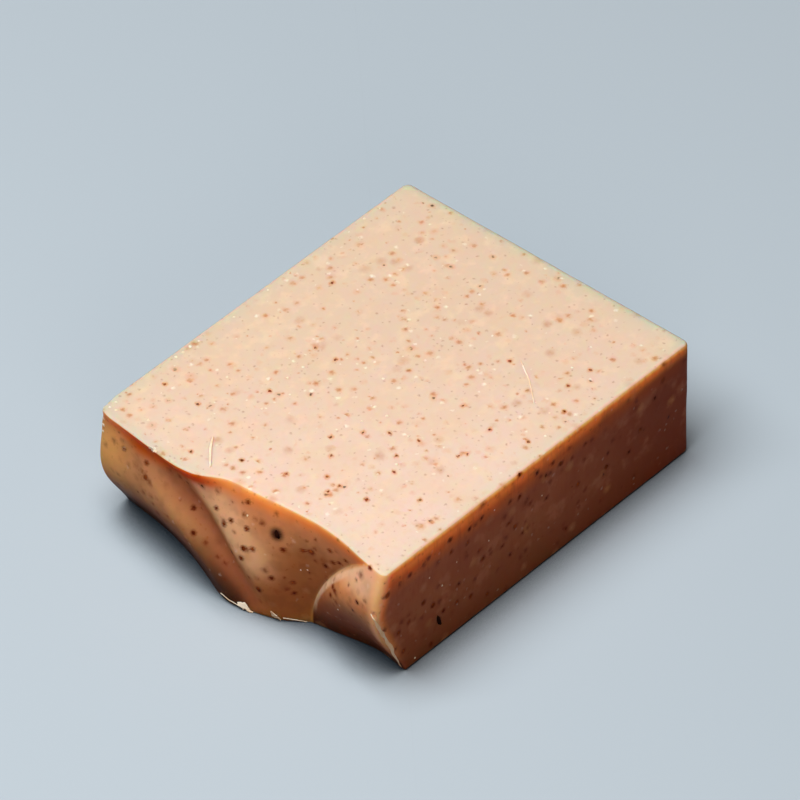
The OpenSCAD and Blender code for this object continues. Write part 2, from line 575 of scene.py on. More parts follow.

# Colours down the moulded sides and down the poured face, as depth below the top and screen
# values: a painted glow under the top edge stands in for light from the cut face shining
# through it, and on the moulded sides a painted shade deepens downwards
MOULDED_PAINTED_GLOW_AND_SHADE = [(0.2, (255, 190, 120)), (0.6, (255, 180, 86)), (1.6, (255, 170, 78)),
                (3, (230, 124, 58)), (6, (181, 106, 73)), (14, (173, 105, 69)),
                (24, (134, 75, 38))]
POURED_PAINTED_GLOW = [(0.2, (252, 194, 134)), (0.5, (250, 172, 88)), (1.4, (234, 146, 74)),
               (3, (210, 138, 90)), (7, (210, 150, 102)), (13, (204, 148, 97)),
               (19, (184, 122, 72)), (24, (200, 132, 66))]

# Names under which the finish reads how much a point is stained
GRAIN_HALO = "grain_halo"
BLACK_STAIN = "black_stain"
SMUDGE_STAIN = "smudge_stain"

# Where washes of colour lie, by measures in millimetres: where one starts and is full, or where
# it starts, is full, fades and ends. Patches and streaks are noise: the size of its lumps, its
# detail, and where in it the wash starts and is full.
UPPER_CUT_FACE = {"below_top": (0.22, 0.12)}
LOWER_CUT_FACE = {"z": (0.22, 0.12)}
MOULDED_SIDES = {"from_middle": (width / 2 - 0.3, width / 2 - 0.1)}
MOULDED_END = {"x": (flat_end - 2, flat_end - 1)}
POURED_FACE = {"x": (datum + 3, datum + 1)}
# Painted shade: the cut face gets darker towards its back
BACK_OF_CUT_FACE = {"to_back": (-60, 35)}
SWELL_FACE = {"from_fold": (0.5, 4), "z": (15, 5)}
LOBE_FACE = {"from_crease": (0, -0.6)}
SWIRL_FOOT = {"z": (8, 1)}
LIP_SPREAD = {"y": (4, 18)}
FAR_CORNER = {"y": (width / 2 - 10, width / 2 - 3)}
UNDER_LIP = {"lip_share": (0.1, 0.3, 2.3, 4.2), "y": (4, 9)}

# Washes in the order in which they are laid: where each lies, its strength and its colour
CUT_FACE_WASHES = [
    ({"patches": (12, 2, 0.42, 0.68)}, 0.28, CUT_FACE_ROSY),
    ({"patches": (3.2, 4, 0.48, 0.7)}, 0.5, CUT_FACE_CREAM),
    ({"patches": (1.3, 3, 0.45, 0.75)}, 0.3, CUT_FACE_ROSY)]
CUT_EDGE_WASHES = [({"from_edge": (1.0, 0.3), "x": (datum, datum + 3)}, 0.8, CUT_EDGE)]
MOULDED_WASHES = [
    ({"patches": (6, 2, 0.35, 0.7)}, 0.35, MOULDED_DARK),
    # Painted shade towards the far end, just below the top
    ({"x": (0, flat_end), "below_top": (0.6, 3)}, 0.75, END_SHADE),
    ({"streaks": (1.1, 4, 0.45, 0.75)}, 0.35, MOULDED_DARK),
    ({"patches": (4.5, 3, 0.5, 0.7), "below_top": (3, 7, 15, 23)}, 0.35, MOULDED_PALE),
    # Painted glow along the corner next to the swirl
    ({"from_swirl": (2.4, 0.5), "z": (2, 12)}, 0.8, CORNER_GLOW),
    # Pale skin and painted glow right at that corner
    ({"from_swirl": (1.2, 0.1), "z": (2, 12)}, 1, PALE_SKIN_AND_PAINTED_GLOW)]
SWIRL_WASHES = [
    ({"patches": (6, 2, 0.35, 0.7)}, 0.25, POURED_DARK),
    # Painted shade low on the swell, where it turns under
    (SWELL_FACE, 0.9, SWELL_SHADE),
    # Painted highlight on the ridge
    ({"from_fold": (-10, -6, -3.5, -1.2), "z": (7, 12, 21, 24)}, 0.5, RIDGE_PAINTED_HIGHLIGHT),
    # Painted shade low on the lobe
    ({**LOBE_FACE, "z": (19, 8)}, 0.9, LOBE_SHADE),
    # Painted shade on the flank before the lobe
    ({"from_crease": (-6, -3, -1.2, -0.6), "z": (20, 13)}, 0.2, HOLLOW_PAINTED_SHADE),
    # Painted light up the lobe
    ({**LOBE_FACE, "z": (12, 19)}, 0.7, LOBE_PAINTED_LIGHT),
    # Painted light at the top of the lobe
    ({**LOBE_FACE, "z": (16, 21)}, 0.5, CUT_FACE_CREAM),
    # Painted shade along the fold
    ({"from_fold": (-2.2, 0.4, 1.2, 5.5), "below_top": (2, 7)}, 0.75, FOLD_PAINTED_SHADE),
    # Painted shade in the hollow before the crease
    ({"from_crease": (-0.2, 0.6, 4.5, 11), "below_top": (3, 9)}, 0.8, HOLLOW_PAINTED_SHADE)]
# Painted highlight along the rim of the lobe
LOBE_RIM_WASHES = [
    ({"from_crease": (-1.5, -0.9, -0.5, 0), "z": (3, 7, 17, 21)}, 0.45, CUT_FACE_CREAM)]
SWIRL_EDGE_WASHES = [
    ({"patches": (3.5, 2, 0.42, 0.7), "below_top": (1, 5)}, 0.22, SWELL_SHADE),
    # Painted light towards the far side of the swirl
    ({"y": (width / 2 - 10, width / 2 - 2.5), "z": (5, 14)}, 0.6, AMBER_PAINTED_LIGHT),
    # Pale skin and painted glow towards the near corner of the swirl
    ({"y": (3.2 - width / 2, 0.6 - width / 2), "z": (2, 13)}, 1, PALE_SKIN_AND_PAINTED_GLOW)]
FOOT_STRENGTH = 0.85

# How much a place far across the loaf counts towards the back of the cut face, where its painted
# shade is darker
BACK_SLANT = 1.2
# Squeeze of the noise that draws the streaks on the moulded sides out upwards
STREAK_SQUEEZE = (1.0, 1.0, 0.22)
# The pale rim of the cut face: size and breadth of its waves, where it starts and is full
RIM_WAVES = 1.6
RIM_WAVE_BREADTH = 1.2
RIM_WIDTH = (1.7, 0.7)
# Strength of that rim, lumps in a grain's halo and roughness of the soap: size of the clouds
# in which each varies, how much it varies, and the least of it
RIM_PATCHES = (9, 0.7, 0.3)
HALO_LUMPS = (0.8, 1, 0.5)
DULLNESS = (3, 0.2, 0.38)
# Depth of the painted shade, deep orange, under the lip: at its start, how much it gains across,
# and loses again
LIP_DEPTH = 0.6
LIP_GAIN = 0.8
LIP_LOSS = 0.6

# Fine grains that are only painted, as spacing, share of the cells that hold one, and what
# sets their pattern apart
GRAIN_FIELDS = {"smudges": (4.2, 0.5, 3.1), "rusty": (1.9, 0.44, 7.7), "dust": (1.1, 0.6, 1.9),
                "dark": (3.4, 0.2, 5.3), "pale": (2.1, 0.4, 9.4)}
# Their spots in the order in which they are laid: field, radius, softness, strength and tone
GRAIN_SPOTS = [("smudges", 1.3, 0.9, 0.5, "smudge"), ("rusty", 1.0, 1.0, 0.5, "halo"),
               ("rusty", 0.55, 1.0, 0.75, "rust"), ("dust", 0.3, 0.9, 0.45, "brown"),
               ("dark", 1.1, 1.0, 0.6, "halo"), ("dark", 0.45, 0.6, 0.85, "black")]
# The pale ones come last: radius, softness, and strength with its gain on the cut faces
PALE_SPOT = (0.5, 0.8)
PALE_STRENGTH = 0.2
PALE_GAIN_ON_CUT = 0.55
# Size of the grains against each other: the least, and how much the largest has more
GRAIN_LEAST = 0.35
GRAIN_VARIES = 0.9
# How far and in what lumps the outlines of the painted grains waver
WOBBLE_REACH = 0.9
WOBBLE = {"Scale": 1.4, "Detail": 3.0}
# Stains round the grains that are set one by one: where in the kept value each wash lies
HALO_RANGE = (0.1, 0.9)
DEEP_RANGE = (0.6, 1.0)
HALO_STRENGTH = 0.8
BLACK_STRENGTH = 0.9
SMUDGE_LUMPS = 1.2

# What is the same all over the soap, by the name of its socket
SOAP_CONSTANTS = {"Subsurface Weight": 1.0, "Subsurface Radius": (1.0, 0.3, 0.1),
                  "Subsurface Scale": 0.0058, "Specular IOR Level": 0.04}
# How much finer lumps count in a cloud
NOISE_ROUGHNESS = 0.55
# Relief of the soap as size, detail and height of its waves, and how strongly it shows
FINE_RELIEF = (0.7, 2, 0.3)
WIDE_RELIEF = (6, 0, 2.0)
SOAP_BUMP = 0.35
# The height of all relief
BUMP_HEIGHT = 0.1
# The small pieces: size and strength of their relief, size of the clouds in their colour,
# where in these the dark tone starts and is full, and their shine
PIECE_RELIEF = 0.25
PIECE_BUMP = 0.5
PIECE_CLOUDS = 2.5
PIECE_PATCHES = (0.35, 0.65)
PIECE_SHINE = 0.02
# The least share of the height at which the fold and the crease still have a direction
LEAST_SHARE = 0.001


def new_finish(name, constants):
    """A new material with some constants on its shader, its node tree and the shader."""
    material = bpy.data.materials.new(name)
    material.use_nodes = True
    shader = material.node_tree.nodes["Principled BSDF"]
    for socket, value in constants.items():
        shader.inputs[socket].default_value = value
    return material, material.node_tree, shader


def vector_math(operation, first, second, socket=1):
    """Arithmetic with whole vectors."""
    return node(first.tree, "ShaderNodeVectorMath", {"operation": operation},
                {0: first, socket: second})


def object_place(tree):
    """Place in the object, in millimetres."""
    place = node(tree, "ShaderNodeTexCoord", {}, {}, "Object")
    return vector_math("SCALE", place, 1 / MM, "Scale")


def bump(height, strength):
    """Normal of a surface with some relief."""
    return node(height.tree, "ShaderNodeBump", {},
                {"Height": height, "Strength": strength, "Distance": BUMP_HEIGHT * MM}, "Normal")


def kept(tree, name):
    """A value that the mesh keeps at each point."""
    return node(tree, "ShaderNodeAttribute", {"attribute_name": name}, {}, "Fac")


def smooth_step(value, start, end):
    """0 before start, 1 past end, with a soft passage between them."""
    return node(value.tree, "ShaderNodeMapRange", {"interpolation_type": "SMOOTHSTEP"},
                {"Value": value, "From Min": start, "From Max": end})


def band(value, start, full, fade, end):
    """1 between full and fade, none before start or past end."""
    return smooth_step(value, start, full) * (1 - smooth_step(value, fade, end))


def clouds(place, size, detail=2):
    """Noise of about 0 to 1 with lumps of a size in millimetres."""
    return node(place.tree, "ShaderNodeTexNoise", {},
                {"Vector": place, "Scale": 1 / size, "Detail": detail,
                 "Roughness": NOISE_ROUGHNESS})


def varied(place, size, amount, least):
    """A value of at least so much, with up to an amount more in clouds of a size."""
    return clouds(place, size) * amount + least


def grain_field(place, spacing, share, shift):
    """Distance to the nearest grain, in millimetres for a grain of the full size, whether that
    grain is there, and a chance for it."""
    tree = place.tree
    moved = vector_math("ADD", place, (shift, shift * 2, shift * 3))
    cell = node(tree, "ShaderNodeTexVoronoi", {"voronoi_dimensions": "3D", "feature": "F1"},
                {"Vector": moved, "Scale": 1 / spacing}, "Distance")
    chance = node(tree, "ShaderNodeSeparateColor", {}, {0: cell.out("Color")})
    size = chance.out("Green") * GRAIN_VARIES + GRAIN_LEAST
    filled = node(tree, "ShaderNodeMath", {"operation": "LESS_THAN"}, {0: chance, 1: share})
    return cell * spacing / size, filled, chance.out("Blue")


def spot(field, radius, softness, strength):
    """Mask of the grains of a field out to a radius, from a soft edge inwards."""
    distance, filled, _ = field
    inside = ((radius - distance) / (radius * softness)).at_least(0).at_most(1)
    return inside * filled * strength


def ramp(value, stops):
    """Colour ramp over a depth in millimetres, as a share of the thickness."""
    placed = [(depth / thickness, srgb(*colour)) for depth, colour in stops]
    return node(value.tree, "ShaderNodeValToRGB", {"stops": placed}, {0: value / thickness})


def line_distance(y, z, line):
    """Distance from the fold or the crease, square to it."""
    foot, head, bend = line
    share = (z / thickness).at_least(LEAST_SHARE).at_most(1)
    lean = share ** (bend - 1) * (bend * (head - foot) / thickness)
    return (y - foot - share ** bend * (head - foot)) / (lean * lean + 1) ** 0.5


def measure(tree):
    """What the washes go by at each point of the bar."""
    place = object_place(tree)
    x = node(tree, "ShaderNodeSeparateXYZ", {}, {0: place})
    y = x.out("Y")
    z = x.out("Z")
    drawn_up = vector_math("MULTIPLY", place, STREAK_SQUEEZE)
    return {"place": place, "drawn_up": drawn_up, "x": x, "y": y, "z": z,
            "from_middle": y.size(), "below_top": thickness - z, "to_back": x + y * BACK_SLANT,
            "from_edge": kept(tree, EDGE_DISTANCE), "from_swirl": kept(tree, SWIRL_DISTANCE),
            "from_fold": line_distance(y, z, fold_line),
            "from_crease": line_distance(y, z, crease_line)}


def where(at, ranges):
    """Mask of the points whose measures all lie in their ranges."""
    masks = []
    for name, numbers in ranges.items():
        if name in ("patches", "streaks"):
            size, detail, start, full = numbers
            place = at["place" if name == "patches" else "drawn_up"]
            masks.append(smooth_step(clouds(place, size, detail), start, full))
        elif len(numbers) == 2:
            masks.append(smooth_step(at[name], *numbers))
        else:
            masks.append(band(at[name], *numbers))
    return math.prod(masks[1:], start=masks[0])


def washed(at, colour, washes):
    """Lays washes of colour over a colour, one after another."""
    for ranges, strength, laid in washes:
        colour = blend(where(at, ranges) * strength, colour, laid)
    return colour


def cut_face_colour(at):
    """Patches of rosier and creamier soap, painted shade darker towards the back, and a pale rim.
    """
    place = at["place"]
    colour = blend(where(at, BACK_OF_CUT_FACE), CUT_FACE, CUT_FACE_BACK_PAINTED_SHADE)
    colour = washed(at, colour, CUT_FACE_WASHES)
    wavy_edge = at["from_edge"] + clouds(place, RIM_WAVES) * RIM_WAVE_BREADTH
    rim = smooth_step(wavy_edge, *RIM_WIDTH)
    colour = blend(rim * varied(place, *RIM_PATCHES), colour, CUT_RIM)
    return washed(at, colour, CUT_EDGE_WASHES)


def swirl_colour(at):
    """Painted light and shade over the swirl: painted shade along the fold, in the hollow before
    the crease, low on the swell and the lobe and at their foot, and deep orange under the lip,
    with a painted highlight on the ridge and painted light up the lobe and towards the sides.
    """
    colour = washed(at, ramp(at["below_top"], POURED_PAINTED_GLOW), SWIRL_WASHES)
    # Painted shade low at the foot, where the swell and the lobe turn under
    swollen = (where(at, SWELL_FACE) + where(at, LOBE_FACE)).at_most(1)
    at_foot = swollen * where(at, SWIRL_FOOT)
    colour = blend(at_foot * FOOT_STRENGTH, colour, FOOT_SHADE)
    colour = washed(at, colour, LOBE_RIM_WASHES)
    # Painted shade, deep orange, under the overhanging lip
    lip_depth = (where(at, LIP_SPREAD) * LIP_GAIN + LIP_DEPTH
                 - where(at, FAR_CORNER) * LIP_LOSS)
    at["lip_share"] = at["below_top"] / lip_depth
    colour = blend(where(at, UNDER_LIP), colour, LIP_SHADE)
    return washed(at, colour, SWIRL_EDGE_WASHES)


def stirred_in(place, cut, colour):
    """Lays the grains that were stirred into the soap, with their stains, over a colour."""
    tree = place.tree
    noise_colour = node(tree, "ShaderNodeTexNoise", {}, {"Vector": place, **WOBBLE}, "Color")
    wobble = vector_math("SCALE", noise_colour, WOBBLE_REACH, "Scale")
    rough_place = vector_math("ADD", place, wobble)

    # Stains of the grains that are set one by one
    halo_colour = blend(cut, DEEP_RUST, RUSTY_HALO)
    halo = kept(tree, GRAIN_HALO) * varied(place, *HALO_LUMPS)
    for numbers, stain_colour in ((HALO_RANGE, halo_colour), (DEEP_RANGE, DEEP_STAIN)):
        colour = blend(smooth_step(halo, *numbers) * HALO_STRENGTH, colour, stain_colour)
    black_stain = smooth_step(kept(tree, BLACK_STAIN), 0, 1)
    colour = blend(black_stain * BLACK_STRENGTH, colour, BLACK_GRAIN)
    smudge = kept(tree, SMUDGE_STAIN) * clouds(place, SMUDGE_LUMPS)
    colour = blend(smudge, colour, PLUM_SMUDGE)

    # Fine grains that are only painted
    fields = {name: grain_field(rough_place, *numbers) for name, numbers in GRAIN_FIELDS.items()}
    rust = blend(fields["rusty"][2], BROWN_GRAIN, RUSTY_GRAIN)
    tones = {"smudge": blend(fields["smudges"][2], PLUM_SMUDGE, AMBER_SMUDGE),
             "rust": blend(cut, DEEP_STAIN, rust), "halo": halo_colour,
             "brown": BROWN_GRAIN, "black": BLACK_GRAIN}
    for field, radius, softness, strength, tone in GRAIN_SPOTS:
        colour = blend(spot(fields[field], radius, softness, strength), colour, tones[tone])
    pale = spot(fields["pale"], *PALE_SPOT, cut * PALE_GAIN_ON_CUT + PALE_STRENGTH)
    return blend(pale, colour, CRUMB_WHITE)


def soap_finish(name):
    material, tree, shader = new_finish(name, SOAP_CONSTANTS)
    at = measure(tree)
    cut = (where(at, UPPER_CUT_FACE) + where(at, LOWER_CUT_FACE)).at_most(1)
    moulded = (where(at, MOULDED_SIDES) + where(at, MOULDED_END)).at_most(1)
    poured = where(at, POURED_FACE) * (1 - moulded)

    colour = washed(at, ramp(at["below_top"], MOULDED_PAINTED_GLOW_AND_SHADE), MOULDED_WASHES)
    colour = blend(poured, colour, swirl_colour(at))
    colour = blend(cut, colour, cut_face_colour(at))
    colour = stirred_in(at["place"], cut, colour)
    colour.into(shader, "Base Color")

    varied(at["place"], *DULLNESS).into(shader, "Roughness")
    fine, wide = (clouds(at["place"], size, detail) * height
                  for size, detail, height in (FINE_RELIEF, WIDE_RELIEF))
    bump(fine + wide, SOAP_BUMP).into(shader, "Normal")
    return material


def plain_finish(name, light, dark, roughness):
    """Finish of a small piece: two tones in clouds, dull, with a grainy surface."""
    material, tree, shader = new_finish(name, {"Roughness": roughness,
                                               "Specular IOR Level": PIECE_SHINE})
    place = object_place(tree)
    patches = smooth_step(clouds(place, PIECE_CLOUDS), *PIECE_PATCHES)
    colour = blend(patches, srgb(*light), srgb(*dark))
    colour.into(shader, "Base Color")
    bump(clouds(place, PIECE_RELIEF), PIECE_BUMP).into(shader, "Normal")
    return material


# Small pieces in and on the soap, placed by the pixels of the photograph where they show

# How far a stain reaches beyond its grain, and from what share of the grain's breadth
HALO_REACH = 0.9
BLACK_REACH = 1.9
STAIN_CORE = 0.6
# Pixels of the photograph to a millimetre, on a surface square to the camera
PIXELS_PER_MM = 5.7

# Grains near the surface, each as pixel across, pixel down and breadth in pixels
GRAINS_ON_CUT_FACE = [
    (335, 360, 3), (269.5, 391, 4), (363, 432.5, 2.5), (389.6, 433, 3), (396, 456, 2.5),
    (568, 386, 3.5), (489.4, 429.7, 3), (467.6, 453.8, 2.5), (463, 405.6, 2.5), (165, 384, 3),
    (198, 404, 3), (332, 283, 4), (315, 348, 2.5), (191, 451.6, 3), (527.8, 442, 2.5),
    (331, 437, 3), (510, 360.8, 4), (590, 370, 3), (366.5, 499.5, 4.5), (241.8, 460, 3.5),
    (419, 441, 3), (564.6, 411.4, 3), (339.8, 486, 2.5), (328, 491.5, 3), (286.3, 474, 3),
    (326.8, 477, 3), (420, 500, 2.5), (394, 472, 3), (331, 456, 2.5), (458.9, 455.8, 2.5)]
GRAINS_ON_SWIRL = [
    (193.4, 533, 5), (145.7, 477.5, 5), (193.6, 507.8, 4), (216.2, 508, 2.5), (248, 502, 3.5),
    (243.4, 548.6, 5.5), (252.5, 549, 3), (241, 558, 4.5), (258.7, 589.5, 6.5), (311, 551.8, 5),
    (325.8, 566, 5.5), (332.8, 562.6, 3.5), (339.4, 563.3, 3), (345.8, 561, 3), (330, 551, 3.5),
    (303, 550.7, 3), (271.3, 578.3, 4.5), (292.8, 582.7, 3), (294.3, 593.2, 3),
    (223.8, 524.2, 4), (231, 520.6, 3), (246.7, 528.6, 3.5), (146.5, 463, 3), (124, 448.7, 2.5),
    (332.8, 586.5, 3.5), (334.5, 590.7, 3), (330.5, 595.3, 3), (370, 567.8, 3), (283, 550, 4)]
GRAINS_ON_SIDE = [
    (561, 463.5, 5.5), (572, 458.4, 3), (552.5, 463, 3), (537, 473, 4), (546, 475.5, 4),
    (519.7, 474.5, 3.5), (519.7, 497, 5), (510.4, 501.6, 3.5), (529.8, 503.4, 3),
    (508.7, 523.7, 4), (515.4, 526.2, 5), (522.4, 533, 3), (481.6, 518, 3), (469.5, 529, 4),
    (467.5, 543, 3.5), (479.6, 550.3, 3), (482.6, 559, 5), (510, 554.5, 3), (502, 546.5, 3),
    (578, 484, 5), (606.5, 467, 5.5), (608, 453, 3), (585.6, 443.8, 3.5), (546.5, 498, 3.5),
    (566, 528.4, 3), (451.4, 552, 4), (470.8, 596, 4), (487.3, 593.7, 3.5), (432.9, 605.4, 5.5),
    (443.4, 611, 4), (458.8, 584, 3.5), (387.5, 595.3, 5), (423.7, 602.6, 5), (408.8, 622, 3),
    (398.7, 632.8, 3.5), (403.6, 651, 3.5), (431, 644, 4), (410, 575, 3.5), (450, 540, 4),
    (457, 602, 3.5), (655, 398, 4), (640, 430, 4.5), (629, 452, 3.5), (663, 380, 3.5)]
# Long grains, each as the pixels of its two ends and its breadth
LONG_GRAINS = [(274.5, 529, 279, 540, 5.5), (436, 615, 441.5, 626, 5),
               (355, 599.5, 359, 605, 1.8)]
# Soft smudges under the cut face, as pixel across, pixel down and breadth
SMUDGES = [(321, 346, 9), (287.9, 450, 7), (543.9, 410.8, 7), (550, 353, 9), (218.4, 440, 7),
           (380, 456, 11), (479.6, 309, 7), (488, 313, 8), (516.7, 403, 8), (547.3, 324, 9),
           (272, 500, 9), (440, 470, 7), (300, 320, 8), (420, 240, 10), (395, 262, 8)]
# Pale crumbs, as the grains are given
PALE_CRUMBS = [
    (287.4, 377.7, 4), (262, 408.6, 4), (290, 394.5, 3.5), (383.4, 378.8, 4.5), (387, 415.7, 5),
    (396.4, 464, 4), (361.7, 421, 3.5), (303, 367, 4), (408, 436, 3), (572, 367.5, 4),
    (591, 347, 3), (549.5, 413, 3), (545, 436, 4), (148.7, 420, 5), (116, 410, 4),
    (247.5, 515.5, 3), (300.8, 570, 2.5), (307.5, 570, 2.5), (338, 609.6, 2.5),
    (542, 495.6, 2.5), (488.9, 540.5, 2.5), (494.6, 510, 2.5), (456.8, 562, 2.5),
    (442.3, 585.4, 3), (429.6, 577.8, 2.5), (176, 357, 5), (183, 352, 4), (190, 346.5, 5),
    (199, 341, 3.5), (234, 317, 3.5), (268, 290, 3), (396, 664, 3), (415, 658, 3),
    (103.5, 425, 5), (103, 431, 3.5), (104, 419, 3.5), (110, 407, 4), (116, 402, 3.5)]

# Thin slivers of dried skin that the wire dragged up: pixels along each, breadth and how far
# its free edge stands up, in millimetres, and how ragged it is
SLIVERS = {
    "foot_sliver_left": ([(221, 593), (229, 600), (238, 605)], 0.4, 0.15, 0.3),
    "foot_flake": ([(238, 603), (246, 606), (254, 614)], 1.3, 0.25, 0.2),
    "foot_flake_ragged": ([(271, 611), (275, 616), (280, 619)], 1.0, 0.25, 0.6),
    "foot_sliver_right": ([(283, 618), (296, 620), (309, 622)], 0.35, 0.1, 0.6),
    "torn_skin": ([(371, 614), (377, 624), (381, 632), (386, 640), (392, 652), (401, 666)],
                  0.6, 0.25, 0.9),
    "edge_burr": ([(148, 446), (153, 449.5), (158, 453)], 0.55, 0.25, 0.7),
    "scratch_left": ([(212.5, 437), (210.3, 448), (210, 467)], 0.42, 0.25, 0.25),
    "scratch_right": ([(520.4, 360.8), (524.4, 370), (529.3, 380.4), (534, 404)], 0.2, 0.08, 0.5)}
SLIVER_STEPS = 40
SLIVER_ROWS = 4
SLIVER_THICKNESS = 0.1
# Gap between a sliver's root and the soap
SLIVER_GAP = 0.02
# How its ends draw in: shares of the length where they are cut off, and the fullness between
SLIVER_ENDS = (0.03, 0.97)
SLIVER_FULLNESS = 0.4
# Its waves along and across, and the least and most that they do to its breadth and its lift
SLIVER_WAVES = (9, 1.5)
BREADTH_WAVES = (0.15, 1.7)
LIFT_WAVES = (0.3, 1.5)


def surface_finder(bar):
    """Gives a function that finds the point of the bar behind a pixel, and its normal."""
    tree = BVHTree.FromPolygons([v.co for v in bar.data.vertices],
                                [p.vertices for p in bar.data.polygons])

    def find(px, py):
        start = camera_place()
        ray = photo_ray(px, py)
        hit, normal, *_ = tree.ray_cast(start, ray)
        if hit is None:
            middle = Vector((0, 0, thickness / 2 * MM))
            hit, normal, *_ = tree.find_nearest(start + ray * (middle - start).length)
        return hit, normal
    return find


def stain(bar, name, places, reach):
    """Marks the points of the bar that lie round some places, fading with distance."""
    points = points_of(bar)
    amount = np.zeros(len(points))
    for point, *_, half_breadth in places:
        apart = np.linalg.norm(points - np.array(point) / MM, axis=1)
        amount = np.maximum(amount, 1 - ease((apart - half_breadth * STAIN_CORE) / reach))
    keep_values(bar, name, amount)


# Lumpiness of a grain, the size of its lumps, how flat it is, and how deep it is sunk
GRAIN_WOBBLE = 0.25
GRAIN_LUMPS = 0.9
GRAIN_SEED = 4
GRAIN_FLATNESS = 0.5
GRAIN_SUNK = 0.2
# Share of the breadth in the photograph that the grain itself takes up
GRAIN_FULLNESS = 0.8
# How much longer than broad a grain may be, and how much its long axis leans up
GRAIN_LENGTHS = (1, 1.25)
GRAIN_LEAN = 0.3
# How much longer the grains on the moulded side are than broad, as the mould drew them up
SIDE_STRETCH = 1.35


def make_grain_pattern():
    """One lumpy, flattened grain of 1 mm radius, to be copied."""
    start_fresh()
    bpy.ops.mesh.primitive_ico_sphere_add(subdivisions=2, radius=MM, location=(0, 0, 0))
    pattern = bpy.context.object
    points = points_of(pattern)
    points *= (1 + GRAIN_WOBBLE * wander(points, GRAIN_LUMPS, GRAIN_SEED))[:, None]
    points[:, 2] *= GRAIN_FLATNESS
    move_points(pattern, points)
    bpy.ops.object.shade_smooth()
    return pattern


def set_grains(name, pattern, places, finish):
    """Sets a copy of the pattern at each place and joins them into one piece.

    A place is a point, a normal, the direction of the long axis, half the length and half
    the breadth."""
    start_fresh()
    for point, normal, along, half_length, half_breadth in places:
        copy = pattern.copy()
        copy.data = pattern.data.copy()
        bpy.context.scene.collection.objects.link(copy)
        side = normal.cross(along).normalized()
        turned = Matrix((side.cross(normal), side, normal)).transposed().to_4x4()
        size = Matrix.Diagonal((half_length, half_breadth, half_breadth, 1))
        sunk = point - normal * half_breadth * GRAIN_SUNK * MM
        copy.data.transform(Matrix.Translation(sunk) @ turned @ size)
        copy.select_set(True)
        bpy.context.view_layer.objects.active = copy
    bpy.ops.object.join()
    joined = bpy.context.object
    joined.name = name
    joined.data.materials.append(finish)
    return joined


def round_places(find, spots, stretch=1.0):
    """Places for round grains. Stretched ones stand upright, and others are turned at random."""
    places = []
    for px, py, breadth in spots:
        point, normal = find(px, py)
        turn = random.uniform(0, 2 * math.pi)
        along = Vector((0, 0, 1))
        if stretch == 1:
            along = Vector((math.cos(turn), math.sin(turn), GRAIN_LEAN))
        half = breadth / PIXELS_PER_MM / 2 * GRAIN_FULLNESS
        half_length = half * stretch * random.uniform(*GRAIN_LENGTHS)
        places.append((point, normal, along, half_length, half))
    return places


def long_places(find, spots):
    """Places for grains drawn out between two pixels."""
    places = []
    for px0, py0, px1, py1, breadth in spots:
        start, _ = find(px0, py0)
        end, _ = find(px1, py1)
        middle, normal = find((px0 + px1) / 2, (py0 + py1) / 2)
        places.append((middle, normal, end - start, (end - start).length / MM / 2,
                       breadth / PIXELS_PER_MM / 2))
    return places


def make_sliver(name, find, pixels, breadth, lift, ragged, seed):
    """A strip laid on the bar along a row of pixels, with one edge standing up."""
    start_fresh()
    bpy.ops.mesh.primitive_grid_add(x_subdivisions=SLIVER_STEPS, y_subdivisions=SLIVER_ROWS,
                                    size=2 * MM, location=(0, 0, 0))
    sliver = bpy.context.object
    sliver.name = name
    grid = points_of(sliver)
    u = np.clip((grid[:, 0] + 1) / 2, 0, 1)
    w = grid[:, 1] / 2
    stations = np.linspace(0, 1, len(pixels))
    px = np.interp(u, stations, [p[0] for p in pixels])
    py = np.interp(u, stations, [p[1] for p in pixels])
    found = [find(a, b) for a, b in zip(px, py)]
    centre = np.array([f[0] for f in found]) / MM
    normal = np.array([f[1] for f in found])
    first, _ = find(*pixels[0])
    last, _ = find(*pixels[-1])
    along = np.array((last - first).normalized())
    side = np.cross(normal, along)
    side /= np.linalg.norm(side, axis=1)[:, None]
    taper = np.sin(math.pi * np.clip(u, *SLIVER_ENDS)) ** SLIVER_FULLNESS
    along_waves, across_waves = SLIVER_WAVES
    waves = 1 + ragged * wander(np.stack([u * along_waves, w * across_waves, u * 0], 1), 1, seed)
    reach = breadth * taper * np.clip(waves, *BREADTH_WAVES)
    up = SLIVER_GAP + lift * np.clip(w + 0.5, 0, 1) ** 2 * np.clip(waves, *LIFT_WAVES)
    points = centre + side * (reach * w)[:, None] + normal * up[:, None]
    points[:, 2] = np.maximum(points[:, 2], SLIVER_THICKNESS)
    move_points(sliver, points)
    shell = sliver.modifiers.new("shell", "SOLIDIFY")
    shell.thickness = SLIVER_THICKNESS * MM
    bpy.ops.object.modifier_apply(modifier=shell.name)
    bpy.ops.object.mode_set(mode="EDIT")
    bpy.ops.mesh.select_all(action="SELECT")
    bpy.ops.mesh.normals_make_consistent(inside=False)
    bpy.ops.object.mode_set(mode="OBJECT")
    bpy.ops.object.shade_smooth()
    return sliver


def carry(piece):
    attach(piece, BODY)


# Finishes of the small pieces: light and dark tone as screen values, and roughness
PIECE_FINISHES = {"stirred_in_grains": ((160, 78, 32), (84, 32, 12), 0.8),
                  "black_grains": ((44, 18, 8), (20, 8, 4), 0.8),
                  "pale_crumbs": ((255, 246, 226), (250, 226, 192), 0.7),
                  "dried_skin": ((255, 246, 226), (250, 220, 180), 0.6)}
PIECES_SEED = 7


